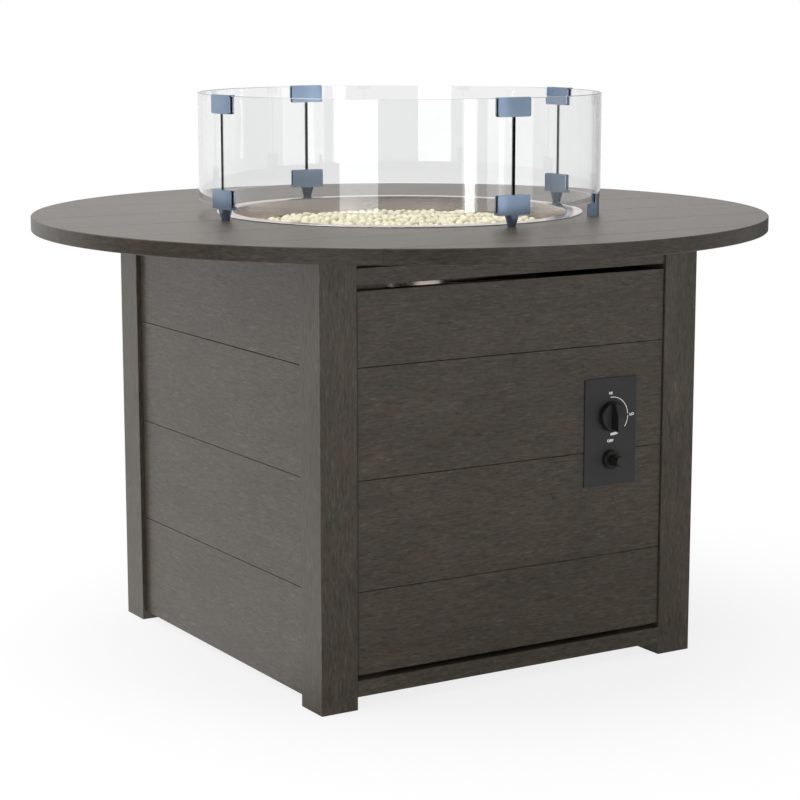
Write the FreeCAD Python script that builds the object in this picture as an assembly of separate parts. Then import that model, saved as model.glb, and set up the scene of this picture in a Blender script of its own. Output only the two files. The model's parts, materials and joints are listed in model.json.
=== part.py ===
import FreeCAD, Part
import math
import os

# A round fire pit table. Millimetres. The origin is on the ground under the middle of the table,
# +Z is up, and the door faces -Y.

V = FreeCAD.Vector
UP = V(0, 0, 1)

# Table top
TOP_RADIUS = 609.6
TOP_HEIGHT = 724.5
TOP_THICKNESS = 23.6
BOARD_PITCH = 169.3
TOP_SEAM = 0.5
TOP_EASE = 0.4
RIM_EASE = 1.2
PAN_OPENING_RADIUS = 284.0
OUTER_CLEAT_X = 480.0
OUTER_CLEAT_HALF = 210.0
OUTER_CLEAT_THICKNESS = 10.0
STRAP_X = 150.0
STRAP_REACH = 560.0

# Cabinet
BASE_HALF = 352.0
POST = 63.5
POST_EASE = 0.8
SEAM = 0.8
EASE = 0.5
BOARD = 19.0
SIDE_RECESS = 8.5
DOOR_RECESS = 4.2
PANEL_BOTTOM = 12.8
PANEL_PITCH = 172.5
PANEL_TOP = 697.5
RAIL_BOTTOM = 20.3
FLOOR_TOP = 46.0
FLOOR_THICKNESS = 15.0
BATTEN = 63.5
CLEAT = 38.0

# Door
DOOR_BOTTOM = 53.5
DOOR_TOP = 643.9
HINGE_GAP = 2.6
LATCH_GAP = 1.0
TOP_RAIL_BOTTOM = 652.0
TOP_RAIL_TOP = 678.0
LATCH_STILE_TOP = 634.0
DOOR_REST_GAP = 0.3
LEAF = 1.0
KNUCKLE_RADIUS = 1.4
HINGE_PIN_RADIUS = 0.7
HINGE_AXIS_X = 1.6
HINGE_AXIS_PROUD = 1.3
KNUCKLES = 5
CATCH_RADIUS = 7.5
CATCH_DEPTH = 10.0
CATCH_PLATE_RADIUS = 9.0
CATCH_PLATE_THICKNESS = 1.5
CATCH_X = 258.0
CATCH_HEIGHTS = (110.0, 590.0)

# Control plate, knob and igniter button
PLATE_WIDTH = 101.3
PLATE_HEIGHT = 175.0
PLATE_THICKNESS = 2.5
PLATE_CORNER = 1.0
PLATE_CENTRE_X = 183.6
PLATE_CENTRE_Z = 387.0
KNOB_Z = 412.5
KNOB_RADIUS = 24.0
SKIRT_DEPTH = 8.5
GRIP_WIDTH = 13.0
GRIP_DEPTH = 17.0
GRIP_TIP_DEPTH = 8.0
GRIP_TOP = 22.5
GRIP_SLOPE_START = 3.0
GRIP_BOTTOM = 20.5
KNOB_PUSH = 3.0
BUTTON_Z = 342.0
BUTTON_PUSH = 4.0
BUTTON_RADIUS = 8.8
BUTTON_PROUD = 30.0
BEZEL_RADIUS = 15.5
BEZEL_PROUD = 8.5
IGNITER_RADIUS = 11.0
VALVE_NECK_RADIUS = 14.0
STEM_RADIUS = 4.0
STEM_HOLE_RADIUS = 4.5
RUNNING_FIT = 0.05
FLARE_RADIUS = 7.94
FLARE_LENGTH = 16.0

# Burner pan
FLANGE_RADIUS = 304.8
PAN_RADIUS = 279.4
PAN_SHEET = 1.5
PAN_BEND = 1.2
PAN_BOTTOM = 630.0
DECK_TOP = 670.0
DECK_THICKNESS = 2.0
PEBBLE_CREST = 711.0
PEBBLE_RIM = 698.5
PEBBLE_FALL = 3.2
BED_DROP = 3.5
STONE_RADIUS = 8.5
STONE_RISE = 1.0
STONE_COUNT = 40
STONE_REACH = 262.0
BURNER_RADIUS = 110.0
BURNER_TUBE_RADIUS = 8.0

# Wind guard
GLASS_OUTER_RADIUS = 334.0
GLASS_THICKNESS = 5.0
GLASS_BOTTOM = 747.5
GLASS_TOP = 921.8
JOINT_ANGLES = (0.5, 91.2, 179.2, 271.0)
JOINT_GAP = 3.0
LINER = 0.8
JAW = 2.5
CLIP_WIDTH = 60.0
TOP_CLIP_BOTTOM = 893.2
TOP_CLIP_TOP = 923.3
TOP_LINER = 0.3
BOTTOM_CLIP_BOTTOM = 742.5
BOTTOM_CLIP_TOP = 773.5
CLIP_CORNER = 3.0
FOOT_TOP_RADIUS = 11.5
FOOT_TIP_RADIUS = 6.5
FOOT_CIRCLE_RADIUS = 328.5
MIDDLE_FOOT_ANGLE = 41.1
MIDDLE_FOOT_WIDTH = 12.0

TOP_UNDERSIDE = TOP_HEIGHT - TOP_THICKNESS
POST_INNER = BASE_HALF - POST
PANEL_OUTER = BASE_HALF - SIDE_RECESS
PANEL_INNER = PANEL_OUTER - BOARD
DOOR_FRONT = -(BASE_HALF - DOOR_RECESS)
DOOR_BACK = DOOR_FRONT + BOARD
STILE_FRONT = DOOR_BACK + DOOR_REST_GAP
STILE_BACK = STILE_FRONT + BOARD
CLEAT_INNER = PANEL_INNER - CLEAT
PLATE_FRONT = DOOR_FRONT - PLATE_THICKNESS
GLASS_INNER_RADIUS = GLASS_OUTER_RADIUS - GLASS_THICKNESS

nodes = {}


def box(x0, x1, y0, y1, z0, z1):
    return Part.makeBox(x1 - x0, y1 - y0, z1 - z0, V(x0, y0, z0))


def group(shapes):
    return Part.makeCompound(list(shapes))


def runs_along(edge, axis):
    ends = [vertex.Point for vertex in edge.Vertexes]
    if len(ends) < 2:
        return False
    span = ends[1] - ends[0]
    return abs(abs(span.dot(axis)) - span.Length) < 1e-6 and span.Length > 1e-6


def eased_board(x0, x1, y0, y1, z0, z1, axis, ease=EASE):
    """A board with its four long edges eased."""
    board = box(x0, x1, y0, y1, z0, z1)
    return board.makeChamfer(ease, [edge for edge in board.Edges if runs_along(edge, axis)])


def edges_at(shape, depth):
    """The edges that lie in one upright plane, counted along Y."""
    return [edge for edge in shape.Edges if abs(edge.CenterOfMass.y - depth) < 1e-6]


def rod(radius, start, end):
    direction = end - start
    return Part.makeCylinder(radius, direction.Length, start, direction)


def turned(profile):
    """A solid of revolution about Z from a closed (radius, height) profile."""
    points = [V(radius, 0, height) for radius, height in profile]
    face = Part.Face(Part.makePolygon(points + [points[0]]))
    return face.revolve(V(0, 0, 0), UP, 360)


def arc_segment(profile, angle, width, radius):
    """A profile swept round the guard's axis over one clip's width, centred on an angle from the front."""
    spread = math.degrees(width / radius)
    points = [V(r, 0, z) for r, z in profile]
    face = Part.Face(Part.makePolygon(points + [points[0]]))
    segment = face.revolve(V(0, 0, 0), UP, spread)
    segment.rotate(V(0, 0, 0), UP, angle - 90 - spread / 2)
    return segment


def rounded_plate_outline(width, z0, z1, radius, corners):
    """A radial prism with rounded corners at the top, the bottom or both ends of a clip."""
    prism = box(GLASS_INNER_RADIUS - 20, GLASS_OUTER_RADIUS + 20, -width / 2, width / 2, z0, z1)
    heights = {"top": z1, "bottom": z0}
    chosen = []
    for edge in prism.Edges:
        middle = edge.CenterOfMass
        if runs_along(edge, V(1, 0, 0)) and any(abs(middle.z - heights[name]) < 1e-6 for name in corners):
            chosen.append(edge)
    return prism.makeFillet(radius, chosen)


def turned_to(shape, angle):
    """Turn a shape made on the +X side to an angle counted from the front, towards the right."""
    placed = shape.copy()
    placed.rotate(V(0, 0, 0), UP, angle - 90)
    return placed


def table_top():
    disc = Part.makeCylinder(TOP_RADIUS, TOP_THICKNESS, V(0, 0, TOP_UNDERSIDE))
    rims = [edge for edge in disc.Edges if len(edge.Vertexes) == 1]
    disc = disc.makeChamfer(RIM_EASE, rims)
    opening = Part.makeCylinder(PAN_OPENING_RADIUS, TOP_THICKNESS, V(0, 0, TOP_UNDERSIDE))
    limits = [-TOP_RADIUS] + [row * BOARD_PITCH for row in range(-3, 4)] + [TOP_RADIUS]
    for row in range(8):
        y0 = limits[row] + (TOP_SEAM / 2 if row > 0 else -TOP_EASE * 2)
        y1 = limits[row + 1] - (TOP_SEAM / 2 if row < 7 else -TOP_EASE * 2)
        strip = eased_board(-TOP_RADIUS - 5, TOP_RADIUS + 5, y0, y1, TOP_UNDERSIDE, TOP_HEIGHT,
                            V(1, 0, 0), TOP_EASE)
        pieces = strip.common(disc).cut(opening).Solids
        pieces.sort(key=lambda solid: solid.CenterOfMass.x)
        name = "top_board_%d" % (row + 1)
        if len(pieces) == 1:
            nodes[name] = pieces[0]
        else:
            nodes[name + "_left"] = pieces[0]
            nodes[name + "_right"] = pieces[1]


def top_supports():
    side = box(-PANEL_INNER, -CLEAT_INNER, -POST_INNER, POST_INNER, TOP_UNDERSIDE - CLEAT, TOP_UNDERSIDE)
    other_side = side.mirror(V(0, 0, 0), V(1, 0, 0))
    end = CLEAT_INNER - 0.5
    front_cleat = box(-end, end, DOOR_BACK, -CLEAT_INNER, PANEL_TOP - CLEAT, PANEL_TOP)
    rear_cleat = box(-end, end, CLEAT_INNER, PANEL_INNER, PANEL_TOP - CLEAT, PANEL_TOP)
    nodes["top_cleats"] = group([side, other_side, front_cleat, rear_cleat])
    outer = box(-OUTER_CLEAT_X, -OUTER_CLEAT_X + CLEAT, -OUTER_CLEAT_HALF, OUTER_CLEAT_HALF,
                TOP_UNDERSIDE - OUTER_CLEAT_THICKNESS, TOP_UNDERSIDE)
    nodes["outer_cleats"] = group([outer, outer.mirror(V(0, 0, 0), V(1, 0, 0))])
    inner_edge = STRAP_X - CLEAT / 2
    strap = box(inner_edge, inner_edge + CLEAT, -STRAP_REACH, -CLEAT_INNER, PANEL_TOP, TOP_UNDERSIDE)
    front = [strap, strap.mirror(V(0, 0, 0), V(1, 0, 0))]
    rear = [piece.mirror(V(0, 0, 0), V(0, 1, 0)) for piece in front]
    nodes["top_straps"] = group(front + rear)


def posts():
    names = {(-1, -1): "front_left", (1, -1): "front_right", (-1, 1): "rear_left", (1, 1): "rear_right"}
    for (side_x, side_y), name in names.items():
        x0, x1 = sorted((side_x * POST_INNER, side_x * BASE_HALF))
        y0, y1 = sorted((side_y * POST_INNER, side_y * BASE_HALF))
        nodes["post_" + name] = eased_board(x0, x1, y0, y1, 0, TOP_UNDERSIDE, UP, POST_EASE)


def panel_rows(bottom, top):
    """Heights of the rows of boards in a panel, from the bottom up."""
    seams = [TOP_UNDERSIDE - PANEL_PITCH * count for count in (3, 2, 1)]
    edges = [bottom] + seams + [top]
    rows = []
    for index in range(4):
        z0 = edges[index] + (SEAM / 2 if index > 0 else 0)
        z1 = edges[index + 1] - (SEAM / 2 if index < 3 else 0)
        rows.append((z0, z1))
    return rows


def panels():
    rows = panel_rows(PANEL_BOTTOM, PANEL_TOP)
    left = []
    for z0, z1 in rows:
        left.append(eased_board(-PANEL_OUTER, -PANEL_INNER, -POST_INNER, POST_INNER, z0, z1, V(0, 1, 0)))
    nodes["left_panel_boards"] = group(left)
    nodes["right_panel_boards"] = group(board.mirror(V(0, 0, 0), V(1, 0, 0)) for board in left)
    rear = []
    for z0, z1 in rows:
        rear.append(eased_board(-POST_INNER, POST_INNER, PANEL_INNER, PANEL_OUTER, z0, z1, V(1, 0, 0)))
    nodes["rear_panel_boards"] = group(rear)


def battens_and_screws():
    places = (-150.0, 150.0)
    top = PANEL_TOP - CLEAT - 4
    inner = PANEL_INNER - BOARD
    battens = []
    screws = []
    for place in places:
        y0 = place - BATTEN / 2
        y1 = place + BATTEN / 2
        battens.append(box(-PANEL_INNER, -inner, y0, y1, FLOOR_TOP, top))
        battens.append(box(inner, PANEL_INNER, y0, y1, FLOOR_TOP, top))
        battens.append(box(y0, y1, inner, PANEL_INNER, FLOOR_TOP, top))
        for z0, z1 in panel_rows(FLOOR_TOP, top):
            height = (z0 + z1) / 2
            screws.append(screw_head(V(-inner, place, height), V(1, 0, 0)))
            screws.append(screw_head(V(inner, place, height), V(-1, 0, 0)))
            screws.append(screw_head(V(place, inner, height), V(0, -1, 0)))
    nodes["panel_battens"] = group(battens)
    nodes["batten_screws"] = group(screws)


def screw_head(seat, outward):
    """A pan head standing on a surface, with a recess for the driver."""
    head = Part.makeCylinder(4.5, 2.6, seat, outward)
    rim = [edge for edge in head.Edges if (edge.CenterOfMass - seat).dot(outward) > 2.5]
    head = head.makeFillet(1.0, rim)
    recess = Part.makeCone(1.6, 0.9, 1.6, seat + outward * 2.6, outward * -1)
    return head.cut(recess)


def front_frame():
    x = POST_INNER
    nodes["front_top_rail"] = eased_board(
        -x, x, DOOR_FRONT, DOOR_BACK, TOP_RAIL_BOTTOM, TOP_RAIL_TOP, V(1, 0, 0))
    nodes["front_bottom_rail"] = eased_board(
        -x, x, -BASE_HALF, -BASE_HALF + BOARD, RAIL_BOTTOM, FLOOR_TOP, V(1, 0, 0))
    stile_top = PANEL_TOP - CLEAT - 0.5
    nodes["hinge_stile"] = box(-x, -x + BATTEN, STILE_FRONT, STILE_BACK, FLOOR_TOP, stile_top)
    latch = box(x - BATTEN, x, STILE_FRONT, STILE_BACK, FLOOR_TOP, LATCH_STILE_TOP)
    for seat in catch_seats():
        latch = latch.cut(Part.makeCylinder(CATCH_RADIUS, CATCH_DEPTH, seat, V(0, 1, 0)))
    nodes["latch_stile"] = latch


def catch_seats():
    """Centres of the magnets' front faces in the latch stile."""
    return [V(CATCH_X, STILE_FRONT, height) for height in CATCH_HEIGHTS]


def floor():
    underside = FLOOR_TOP - FLOOR_THICKNESS
    plate = box(-PANEL_INNER, PANEL_INNER, -BASE_HALF + BOARD, PANEL_INNER, underside, FLOOR_TOP)
    for side_x in (-1, 1):
        for side_y in (-1, 1):
            x0, x1 = sorted((side_x * POST_INNER, side_x * BASE_HALF))
            y0, y1 = sorted((side_y * POST_INNER, side_y * BASE_HALF))
            plate = plate.cut(box(x0, x1, y0, y1, 0, FLOOR_TOP))
    nodes["floor_board"] = plate
    cleat = box(-PANEL_INNER, -CLEAT_INNER, -POST_INNER, POST_INNER, PANEL_BOTTOM, underside)
    nodes["floor_cleats"] = group([cleat, cleat.mirror(V(0, 0, 0), V(1, 0, 0))])


def door():
    x0 = -POST_INNER + HINGE_GAP
    x1 = POST_INNER - LATCH_GAP
    valve_hole = rod(VALVE_NECK_RADIUS + 1, V(PLATE_CENTRE_X, DOOR_FRONT - 1, KNOB_Z),
                     V(PLATE_CENTRE_X, DOOR_BACK + 1, KNOB_Z))
    igniter_hole = rod(IGNITER_RADIUS + 0.5, V(PLATE_CENTRE_X, DOOR_FRONT - 1, BUTTON_Z),
                       V(PLATE_CENTRE_X, DOOR_BACK + 1, BUTTON_Z))
    plates = []
    for seat in catch_seats():
        front = V(seat.x, DOOR_BACK - CATCH_PLATE_THICKNESS, seat.z)
        plates.append(Part.makeCylinder(CATCH_PLATE_RADIUS, CATCH_PLATE_THICKNESS, front, V(0, 1, 0)))
    for index, (z0, z1) in enumerate(panel_rows(DOOR_BOTTOM, DOOR_TOP)):
        board = eased_board(x0, x1, DOOR_FRONT, DOOR_BACK, z0, z1, V(1, 0, 0))
        for tool in [valve_hole, igniter_hole] + plates:
            board = board.cut(tool)
        nodes["door_board_%d" % (index + 1)] = board.Solids[0]
    for name, centre in (("left", -180.0), ("right", 95.0)):
        half = BATTEN / 2
        nodes["door_batten_" + name] = box(
            centre - half, centre + half, DOOR_BACK, DOOR_BACK + BOARD, DOOR_BOTTOM + 12, DOOR_TOP - 12)
    nodes["catch_plates"] = group(plates)
    nodes["catch_magnets"] = group(
        Part.makeCylinder(CATCH_RADIUS, CATCH_DEPTH, seat, V(0, 1, 0)) for seat in catch_seats())


def hinge():
    """A continuous hinge in the corner between the left post and the door's front face."""
    axis_x = -POST_INNER + HINGE_AXIS_X
    axis_y = DOOR_FRONT - HINGE_AXIS_PROUD
    bottom = DOOR_BOTTOM + 15
    top = DOOR_TOP - 15
    pitch = (top - bottom) / KNUCKLES
    leaf_back = DOOR_BACK - 1
    leaf_front = axis_y + KNUCKLE_RADIUS + 0.3
    door_edge = -POST_INNER + HINGE_GAP
    frame_leaf = box(-POST_INNER, -POST_INNER + LEAF, leaf_front, leaf_back, bottom, top)
    door_leaf = box(door_edge - LEAF, door_edge, leaf_front, leaf_back, bottom, top)
    for index in range(KNUCKLES):
        z0 = bottom + index * pitch + (0.3 if index > 0 else 0)
        z1 = bottom + (index + 1) * pitch - (0.3 if index < KNUCKLES - 1 else 0)
        knuckle = Part.makeCylinder(KNUCKLE_RADIUS, z1 - z0, V(axis_x, axis_y, z0))
        if index % 2 == 0:
            wrap = box(-POST_INNER + 0.2, -POST_INNER + LEAF, axis_y, leaf_front, z0, z1)
            frame_leaf = frame_leaf.fuse([knuckle, wrap])
        else:
            wrap = box(door_edge - LEAF, door_edge, axis_y, leaf_front, z0, z1)
            door_leaf = door_leaf.fuse([knuckle, wrap])
    bore = Part.makeCylinder(HINGE_PIN_RADIUS + RUNNING_FIT, top - bottom, V(axis_x, axis_y, bottom))
    nodes["hinge_frame_leaf"] = frame_leaf.cut(bore).removeSplitter()
    nodes["hinge_door_leaf"] = door_leaf.cut(bore).removeSplitter()
    nodes["hinge_pin"] = Part.makeCylinder(HINGE_PIN_RADIUS, top - bottom, V(axis_x, axis_y, bottom))


def control_plate():
    half_width = PLATE_WIDTH / 2
    half_height = PLATE_HEIGHT / 2
    plate = box(PLATE_CENTRE_X - half_width, PLATE_CENTRE_X + half_width, PLATE_FRONT, DOOR_FRONT,
                PLATE_CENTRE_Z - half_height, PLATE_CENTRE_Z + half_height)
    plate = plate.makeFillet(PLATE_CORNER, [edge for edge in plate.Edges if runs_along(edge, V(0, 1, 0))])
    stem_hole = rod(STEM_HOLE_RADIUS, V(PLATE_CENTRE_X, PLATE_FRONT - 1, KNOB_Z),
                    V(PLATE_CENTRE_X, DOOR_FRONT + 1, KNOB_Z))
    igniter_hole = rod(IGNITER_RADIUS, V(PLATE_CENTRE_X, PLATE_FRONT - 1, BUTTON_Z),
                       V(PLATE_CENTRE_X, DOOR_FRONT + 1, BUTTON_Z))
    nodes["control_plate"] = plate.cut(stem_hole).cut(igniter_hole)


def gas_valve():
    """A brass valve screwed up to the back of the control plate, with two flare ends."""
    x = PLATE_CENTRE_X
    neck = rod(VALVE_NECK_RADIUS, V(x, DOOR_FRONT, KNOB_Z), V(x, DOOR_BACK, KNOB_Z))
    body_back = DOOR_BACK + 34
    body = box(x - 17, x + 17, DOOR_BACK, body_back, KNOB_Z - 24, KNOB_Z + 20)
    body = body.makeFillet(3.0, [edge for edge in body.Edges if runs_along(edge, V(0, 1, 0))])
    middle = (DOOR_BACK + body_back) / 2
    inlet = flare_end(V(x, middle, KNOB_Z - 24), V(0, 0, -1))
    outlet = flare_end(V(x, middle, KNOB_Z + 20), V(0, 0, 1))
    bore = rod(STEM_RADIUS + RUNNING_FIT, V(x, DOOR_FRONT - 1, KNOB_Z), V(x, DOOR_BACK + 12, KNOB_Z))
    nodes["gas_valve"] = neck.fuse([body, inlet, outlet]).cut(bore).removeSplitter()


def flare_end(seat, outward):
    """A hexagon and a round threaded end for a flare nut."""
    side = V(outward.z, outward.x, outward.y)
    turn = FreeCAD.Rotation(outward, 60)
    corners = []
    spoke = side * 10.0
    for _ in range(6):
        corners.append(seat + spoke)
        spoke = turn.multVec(spoke)
    hexagon = Part.Face(Part.makePolygon(corners + [corners[0]])).extrude(outward * 6)
    end = Part.makeCylinder(FLARE_RADIUS, FLARE_LENGTH, seat + outward * 6, outward)
    tip = seat + outward * (6 + FLARE_LENGTH)
    end = end.cut(Part.makeCylinder(3.5, 12, tip, outward * -1))
    return hexagon.fuse(end)


def control_knob():
    """A round knob with a raised grip that slopes away at its top, pushed onto the valve's stem."""
    x = PLATE_CENTRE_X
    seat = PLATE_FRONT - KNOB_PUSH - 0.6
    front = seat - SKIRT_DEPTH
    skirt = rod(KNOB_RADIUS, V(x, seat, KNOB_Z), V(x, front, KNOB_Z))
    skirt = skirt.makeChamfer(1.5, edges_at(skirt, front))
    side = x - GRIP_WIDTH / 2
    profile = [V(side, front + 1, KNOB_Z - GRIP_BOTTOM), V(side, front - GRIP_DEPTH, KNOB_Z - GRIP_BOTTOM),
               V(side, front - GRIP_DEPTH, KNOB_Z + GRIP_SLOPE_START),
               V(side, front - GRIP_TIP_DEPTH, KNOB_Z + GRIP_TOP), V(side, front + 1, KNOB_Z + GRIP_TOP)]
    grip = Part.Face(Part.makePolygon(profile + [profile[0]])).extrude(V(GRIP_WIDTH, 0, 0))
    grip = grip.makeFillet(1.2, [edge for edge in grip.Edges if edge.CenterOfMass.y < front - 3])
    bound = rod(KNOB_RADIUS - 0.5, V(x, front - 30, KNOB_Z), V(x, seat, KNOB_Z))
    socket = rod(STEM_RADIUS + RUNNING_FIT, V(x, seat + 1, KNOB_Z), V(x, seat - 14, KNOB_Z))
    nodes["control_knob"] = skirt.fuse(grip.common(bound)).cut(socket).removeSplitter()
    stem_back = DOOR_BACK + 12 - KNOB_PUSH - 1
    nodes["valve_stem"] = rod(STEM_RADIUS, V(x, stem_back, KNOB_Z), V(x, seat - 13.7, KNOB_Z))


def igniter():
    """A push-button igniter: a housing through the door and a sprung cap."""
    x = PLATE_CENTRE_X
    rim = PLATE_FRONT - BEZEL_PROUD
    bezel = rod(BEZEL_RADIUS, V(x, rim, BUTTON_Z), V(x, PLATE_FRONT, BUTTON_Z))
    bezel = bezel.makeChamfer(1.2, edges_at(bezel, rim))
    barrel_end = DOOR_BACK + 40
    barrel = rod(IGNITER_RADIUS, V(x, PLATE_FRONT, BUTTON_Z), V(x, barrel_end, BUTTON_Z))
    nut = rod(BEZEL_RADIUS, V(x, DOOR_BACK, BUTTON_Z), V(x, DOOR_BACK + 6, BUTTON_Z))
    tabs = []
    for height in (BUTTON_Z - 6, BUTTON_Z + 6):
        tabs.append(box(x - 0.4, x + 0.4, barrel_end, barrel_end + 8, height - 3, height + 3))
    button_back = PLATE_FRONT + 6
    bore = rod(BUTTON_RADIUS + RUNNING_FIT, V(x, rim - 1, BUTTON_Z),
               V(x, button_back + BUTTON_PUSH + 1, BUTTON_Z))
    nodes["igniter_housing"] = bezel.fuse([barrel, nut] + tabs).cut(bore).removeSplitter()
    cap_front = PLATE_FRONT - BUTTON_PROUD
    button = rod(BUTTON_RADIUS, V(x, button_back, BUTTON_Z), V(x, cap_front, BUTTON_Z))
    nodes["igniter_button"] = button.makeFillet(1.5, edges_at(button, cap_front))


def burner_pan():
    inner = PAN_RADIUS - PAN_SHEET
    flange_top = TOP_HEIGHT + PAN_SHEET
    ledge = inner - 6
    inlet_hole = 14.0
    profile = [
        (inlet_hole, PAN_BOTTOM), (PAN_RADIUS, PAN_BOTTOM), (PAN_RADIUS, TOP_HEIGHT),
        (FLANGE_RADIUS, TOP_HEIGHT), (FLANGE_RADIUS, flange_top), (inner + PAN_BEND, flange_top),
        (inner + PAN_BEND * 0.3, flange_top - PAN_BEND * 0.3), (inner, flange_top - PAN_BEND),
        (inner, DECK_TOP - DECK_THICKNESS), (ledge, DECK_TOP - DECK_THICKNESS),
        (ledge, DECK_TOP - 2 * DECK_THICKNESS), (inner, DECK_TOP - 2 * DECK_THICKNESS - 6),
        (inner, PAN_BOTTOM + PAN_SHEET), (inlet_hole, PAN_BOTTOM + PAN_SHEET)]
    nodes["burner_pan"] = turned(profile)
    deck = Part.makeCylinder(inner - 0.5, DECK_THICKNESS, V(0, 0, DECK_TOP - DECK_THICKNESS))
    nodes["burner_deck"] = deck.cut(Part.makeCylinder(inlet_hole, 20, V(0, 0, DECK_TOP - 10)))


def ring_burner():
    height = DECK_TOP + BURNER_TUBE_RADIUS
    ring = Part.makeTorus(BURNER_RADIUS, BURNER_TUBE_RADIUS, V(0, 0, height))
    spoke = rod(BURNER_TUBE_RADIUS - 1, V(-BURNER_RADIUS, 0, height), V(BURNER_RADIUS, 0, height))
    hub = Part.makeCylinder(11, 2 * BURNER_TUBE_RADIUS, V(0, 0, DECK_TOP))
    nodes["ring_burner"] = ring.fuse([spoke, hub]).removeSplitter()
    pipe = Part.makeCylinder(9, DECK_TOP - PAN_BOTTOM + 4, V(0, 0, PAN_BOTTOM - 4))
    washer = Part.makeCylinder(20, 4, V(0, 0, PAN_BOTTOM - 4))
    end = flare_end(V(0, 0, PAN_BOTTOM - 4), V(0, 0, -1))
    nodes["burner_inlet"] = pipe.fuse([washer, end]).removeSplitter()
    x = BURNER_RADIUS + 22
    ceramic = Part.makeCylinder(4, 24, V(x, 0, DECK_TOP))
    wire = Part.makeCylinder(1.2, 30, V(x, 0, DECK_TOP))
    nodes["spark_electrode"] = ceramic.fuse(wire)


def heap_height(radius):
    """The height of the heap of pebbles at a distance from the middle of the pan."""
    part = radius / (PAN_RADIUS - PAN_SHEET)
    return PEBBLE_CREST + (PEBBLE_RIM - PEBBLE_CREST) * part ** PEBBLE_FALL


def main_stones():
    """The larger stones, spread evenly over the heap and sunk into the bed to their shoulders."""
    stones = []
    for count in range(STONE_COUNT):
        radius = STONE_REACH * math.sqrt((count + 0.5) / STONE_COUNT)
        angle = math.radians(137.5 * count)
        height = heap_height(radius) + STONE_RISE - STONE_RADIUS
        centre = V(radius * math.cos(angle), radius * math.sin(angle), height)
        stones.append(Part.makeSphere(STONE_RADIUS, centre))
    return stones


def pebbles():
    """The bed of pebbles over the burner, heaped in a low crown below the table top."""
    outer = PAN_RADIUS - PAN_SHEET - 1
    profile = [(0, DECK_TOP), (outer, DECK_TOP)]
    for step in range(9):
        radius = outer * (1 - step / 8)
        profile.append((radius, heap_height(radius) - BED_DROP))
    bed = turned(profile).fuse(main_stones())
    height = DECK_TOP + BURNER_TUBE_RADIUS
    room = 0.5
    spoke_end = V(BURNER_RADIUS, 0, height)
    hollows = [
        Part.makeTorus(BURNER_RADIUS, BURNER_TUBE_RADIUS + room, V(0, 0, height)),
        rod(BURNER_TUBE_RADIUS - 1 + room, spoke_end * -1 + UP * 2 * height, spoke_end),
        Part.makeCylinder(11 + room, 2 * BURNER_TUBE_RADIUS + room, V(0, 0, DECK_TOP)),
        Part.makeCylinder(4 + room, 31, V(BURNER_RADIUS + 22, 0, DECK_TOP))]
    for hollow in hollows:
        bed = bed.cut(hollow)
    nodes["pebble_bed"] = bed


def glass():
    """Four bent panes, with a black strip that fills each joint between them."""
    half_gap = math.degrees(math.asin(JOINT_GAP / 2 / GLASS_INNER_RADIUS))
    section = Part.Face(Part.makePolygon([
        V(GLASS_INNER_RADIUS, 0, GLASS_BOTTOM), V(GLASS_OUTER_RADIUS, 0, GLASS_BOTTOM),
        V(GLASS_OUTER_RADIUS, 0, GLASS_TOP), V(GLASS_INNER_RADIUS, 0, GLASS_TOP),
        V(GLASS_INNER_RADIUS, 0, GLASS_BOTTOM)]))
    names = ("front_right", "rear_right", "rear_left", "front_left")
    ends = JOINT_ANGLES[1:] + (JOINT_ANGLES[0] + 360,)
    seals = []
    for name, start, end in zip(names, JOINT_ANGLES, ends):
        panel = section.revolve(V(0, 0, 0), UP, end - start - 2 * half_gap)
        panel.rotate(V(0, 0, 0), UP, start - 90 + half_gap)
        nodes["glass_" + name] = panel.makeFillet(0.8, panel.Edges)
        seal_half = JOINT_GAP / 2 - 0.05
        seal = box(GLASS_INNER_RADIUS, GLASS_OUTER_RADIUS - 0.1, -seal_half, seal_half,
                   GLASS_BOTTOM, GLASS_TOP)
        seals.append(turned_to(seal, start))
    nodes["glass_seals"] = group(seals)


def clip_section(open_end, closed_end, plate):
    """The U of a clip: two jaws and the plate across their closed end."""
    inner = GLASS_INNER_RADIUS - LINER
    outer = GLASS_OUTER_RADIUS + LINER
    return [(outer + JAW, closed_end), (outer + JAW, open_end), (outer, open_end), (outer, plate),
            (inner, plate), (inner, open_end), (inner - JAW, open_end), (inner - JAW, closed_end)]


def liner_section(open_end, plate, glass_edge):
    inner = GLASS_INNER_RADIUS
    outer = GLASS_OUTER_RADIUS
    return [(outer + LINER, plate), (outer + LINER, open_end), (outer, open_end), (outer, glass_edge),
            (inner, glass_edge), (inner, open_end), (inner - LINER, open_end), (inner - LINER, plate)]


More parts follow.
